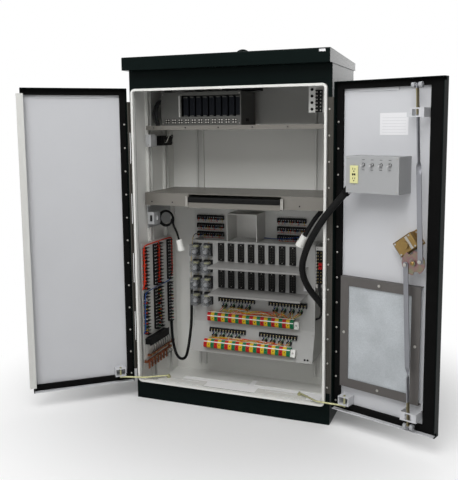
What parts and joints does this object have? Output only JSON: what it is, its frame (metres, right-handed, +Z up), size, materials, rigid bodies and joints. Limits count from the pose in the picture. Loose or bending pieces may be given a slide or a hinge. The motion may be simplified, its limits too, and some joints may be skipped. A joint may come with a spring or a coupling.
{
  "type": "traffic signal controller cabinet",
  "caption": "Roadside utility cabinet with two open doors, a three-point latch, shelves, card rack, load bay with coloured field terminals and a filtered right door.",
  "frame": {"origin": "middle of the base, on the ground", "axes": "+Z up, -Y towards the front with the doors, +X towards the latch door's hinge"},
  "size_m": [1.7405, 0.7642, 1.5955],
  "materials": {
    "shell_green": "gloss enamel",
    "door_green": "gloss enamel outside, white inside",
    "panel_white": "satin white",
    "aluminium": "mill finish",
    "steel": "zinc plated",
    "zinc_yellow": "yellow zinc plated",
    "black_plastic": "moulded",
    "grey_plastic": "moulded",
    "white_plastic": "moulded",
    "card_board": "circuit board",
    "red_plastic": "moulded",
    "yellow_plastic": "moulded",
    "green_plastic": "moulded",
    "clear_plastic": "clear moulding",
    "copper": "bare copper",
    "foam": "closed-cell sponge",
    "filter_cloth": "pleated fibre",
    "lock_brass": "gold chromate",
    "cam_zinc": "iridescent zinc",
    "cable": "sleeved loom"
  },
  "bodies": {
    "cabinet": {"cabinet_shell": "shell_green", "roof_cap": "shell_green", "plenum_deck": "aluminium", "fan_housing": "black_plastic", "wall_channels": "aluminium", "upper_shelf": "aluminium", "lower_shelf": "aluminium", "card_rack": "aluminium", "rack_cards": "card_board", "jack_bar": "white_plastic", "power_units": "grey_plastic", "surge_units": "black_plastic", "rear_panels": "panel_white", "centre_bracket": "aluminium", "load_panel": "panel_white", "sockets": "black_plastic", "relay_covers": "clear_plastic", "terminal_strips": "black_plastic", "field_blocks_red": "red_plastic", "field_blocks_yellow": "yellow_plastic", "field_blocks_green": "green_plastic", "marker_strips": "white_plastic", "wall_panel": "panel_white", "bus_bars": "copper", "stay_plates": "panel_white", "left_hinge_leaf": "steel", "right_hinge_leaf": "steel", "door_loom": "cable", "harness_right": "cable", "cable_coil": "cable", "harness_plugs": "grey_plastic"},
    "left_door": {"left_door": "door_green", "left_door_hinge_leaf": "steel", "left_door_gasket": "foam", "left_door_strip": "panel_white"},
    "right_door": {"right_door": "door_green", "right_door_hinge_leaf": "steel", "right_door_gasket": "foam", "filter_pad": "filter_cloth", "filter_frame": "aluminium", "switch_box": "grey_plastic", "outlet": "black_plastic", "lock_case": "lock_brass"},
    "toggle_1": {"toggle_1": "steel"},
    "toggle_2": {"toggle_2": "steel"},
    "toggle_3": {"toggle_3": "steel"},
    "toggle_4": {"toggle_4": "steel"},
    "latch": {"latch_cam": "cam_zinc", "door_handle": "steel"},
    "upper_rod": {"upper_rod": "steel"},
    "lower_rod": {"lower_rod": "steel"},
    "upper_rollers": {"upper_rollers": "white_plastic"},
    "lower_rollers": {"lower_rollers": "white_plastic"},
    "left_stay": {"left_stay_rod": "zinc_yellow"},
    "right_stay": {"right_stay_rod": "zinc_yellow"},
    "drawer": {"drawer": "aluminium", "drawer_pull": "black_plastic"},
    "fan_rotor": {"fan_rotor": "black_plastic"}
  },
  "joints": [
    {"name": "left_door_hinge", "type": "hinge", "parent": "cabinet", "child": "left_door", "pos_m": [-0.4622, -0.2209, 0.753], "axis": [0, 0, -1], "range_deg": [-140, 0]},
    {"name": "right_door_hinge", "type": "hinge", "parent": "cabinet", "child": "right_door", "pos_m": [0.4622, -0.2209, 0.753], "axis": [0, 0, 1], "range_deg": [-161, 0], "deforming": ["door_loom"]},
    {"name": "left_stay_pivot", "type": "hinge", "parent": "left_door", "child": "left_stay", "pos_m": [-0.51325, -0.26896, 0.13], "axis": [0, 0, 1], "range_deg": [-154.62, 0.5]},
    {"name": "right_stay_pivot", "type": "hinge", "parent": "right_door", "child": "right_stay", "pos_m": [0.52708, -0.24747, 0.13], "axis": [0, 0, -1], "range_deg": [-169.66, 0.5]},
    {"name": "latch_turn", "type": "hinge", "parent": "right_door", "child": "latch", "pos_m": [0.80021, -0.35421, 0.745], "axis": [-0.3256, -0.9455, 0], "range_deg": [0, 73]},
    {"name": "upper_rod_pivot", "type": "hinge", "parent": "latch", "child": "upper_rod", "pos_m": [0.82594, -0.36762, 0.75377], "axis": [-0.3256, -0.9455, 0], "range_deg": [-76.06, 0.5]},
    {"name": "lower_rod_pivot", "type": "hinge", "parent": "latch", "child": "lower_rod", "pos_m": [0.77169, -0.34893, 0.73623], "axis": [-0.3256, -0.9455, 0], "range_deg": [-76.11, 0.5]},
    {"name": "upper_roller_spin", "type": "hinge", "parent": "upper_rod", "child": "upper_rollers", "pos_m": [0.79976, -0.3586, 1.396], "axis": [0.9446, -0.3253, 0.0431], "continuous": true},
    {"name": "lower_roller_spin", "type": "hinge", "parent": "lower_rod", "child": "lower_rollers", "pos_m": [0.79692, -0.35762, 0.108], "axis": [-0.9447, 0.3253, -0.0424], "continuous": true},
    {"name": "drawer_slide", "type": "slide", "parent": "cabinet", "child": "drawer", "axis": [0, -1, 0], "range_m": [0, 0.22]},
    {"name": "fan_spin", "type": "hinge", "parent": "cabinet", "child": "fan_rotor", "pos_m": [0, 0, 1.43], "axis": [0, 0, 1], "continuous": true},
    {"name": "toggle_1_throw", "type": "hinge", "parent": "right_door", "child": "toggle_1", "pos_m": [0.60657, -0.34835, 1.108], "axis": [-0.9455, 0.3256, 0], "range_deg": [0, 28]},
    {"name": "toggle_2_throw", "type": "hinge", "parent": "right_door", "child": "toggle_2", "pos_m": [0.64108, -0.36023, 1.108], "axis": [-0.9455, 0.3256, 0], "range_deg": [0, 28]},
    {"name": "toggle_3_throw", "type": "hinge", "parent": "right_door", "child": "toggle_3", "pos_m": [0.6756, -0.37211, 1.108], "axis": [-0.9455, 0.3256, 0], "range_deg": [0, 28]},
    {"name": "toggle_4_throw", "type": "hinge", "parent": "right_door", "child": "toggle_4", "pos_m": [0.71011, -0.384, 1.108], "axis": [-0.9455, 0.3256, 0], "range_deg": [0, 28]}
  ],
  "couplings": [
    {"joint": "left_stay_pivot", "follows": "left_door_hinge", "ratio": 1.1009},
    {"joint": "right_stay_pivot", "follows": "right_door_hinge", "ratio": 1.0507},
    {"joint": "upper_rod_pivot", "follows": "latch_turn", "ratio": -1.035},
    {"joint": "lower_rod_pivot", "follows": "latch_turn", "ratio": -1.0358}
  ]
}
